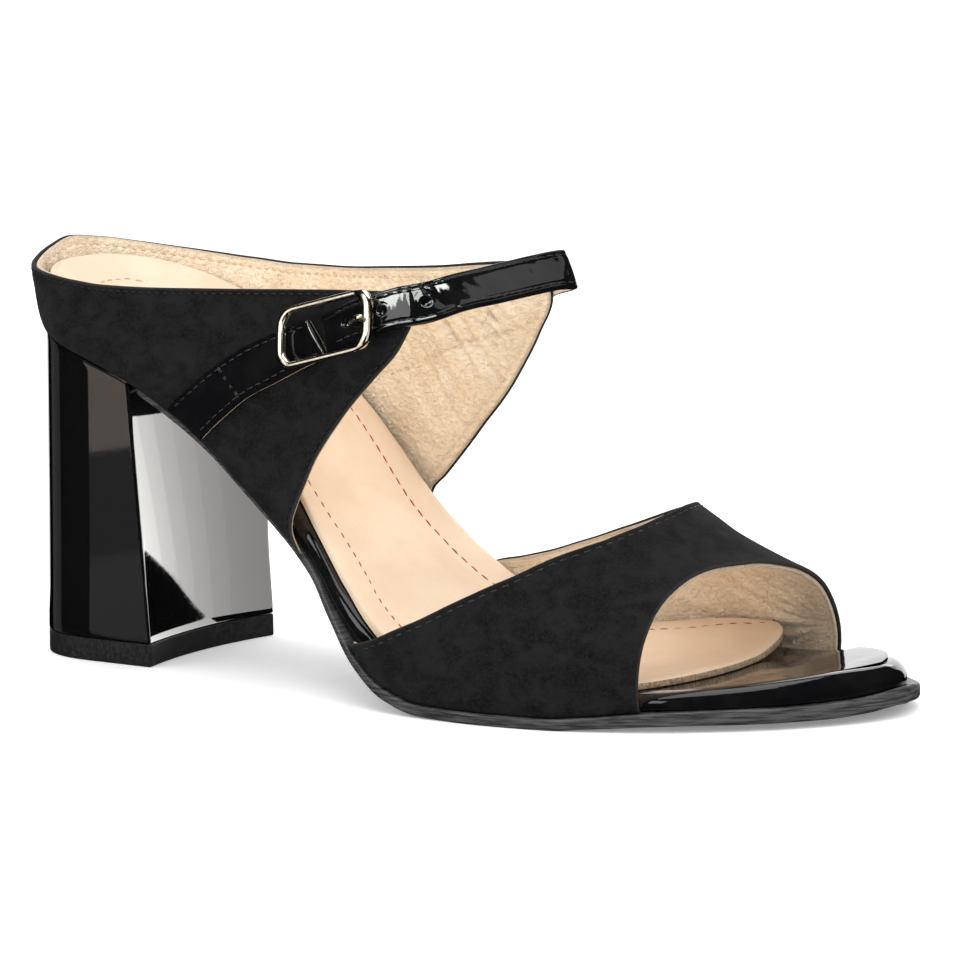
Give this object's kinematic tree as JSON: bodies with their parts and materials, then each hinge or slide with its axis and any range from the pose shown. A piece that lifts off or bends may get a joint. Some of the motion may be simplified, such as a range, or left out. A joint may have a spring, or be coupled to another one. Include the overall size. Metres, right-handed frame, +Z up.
{
  "type": "sandal",
  "caption": "Open-toe mule sandal for the right foot with an arched sole, a wrapped platform, a block heel, side flaps and a diagonal buckled instep strap",
  "frame": {"origin": "centre of the bounding box on the floor the shoe stands on", "axes": "+Z up, toe towards -Y, heel towards +Y, +X towards the inner (medial) side of the right foot"},
  "size_m": [0.0841, 0.2132, 0.0926],
  "materials": {
    "suede": "matt napped black suede outside, beige leather lining inside",
    "patent": "high-gloss black patent",
    "sock_leather": "smooth matt beige leather with red dashed stitching",
    "outsole_resin": "satin black resin",
    "heel_lacquer": "gloss black lacquer",
    "top_piece_rubber": "matt black rubber",
    "buckle_metal": "polished pale gold plating"
  },
  "bodies": {
    "root": {"outsole": "outsole_resin", "midsole": "patent", "insole": "sock_leather", "vamp": "suede", "quarter": "suede", "buckle_tab": "patent", "strap": "patent", "buckle_frame": "buckle_metal", "buckle_prong": "buckle_metal", "heel": "heel_lacquer", "top_piece": "top_piece_rubber"}
  },
  "joints": []
}
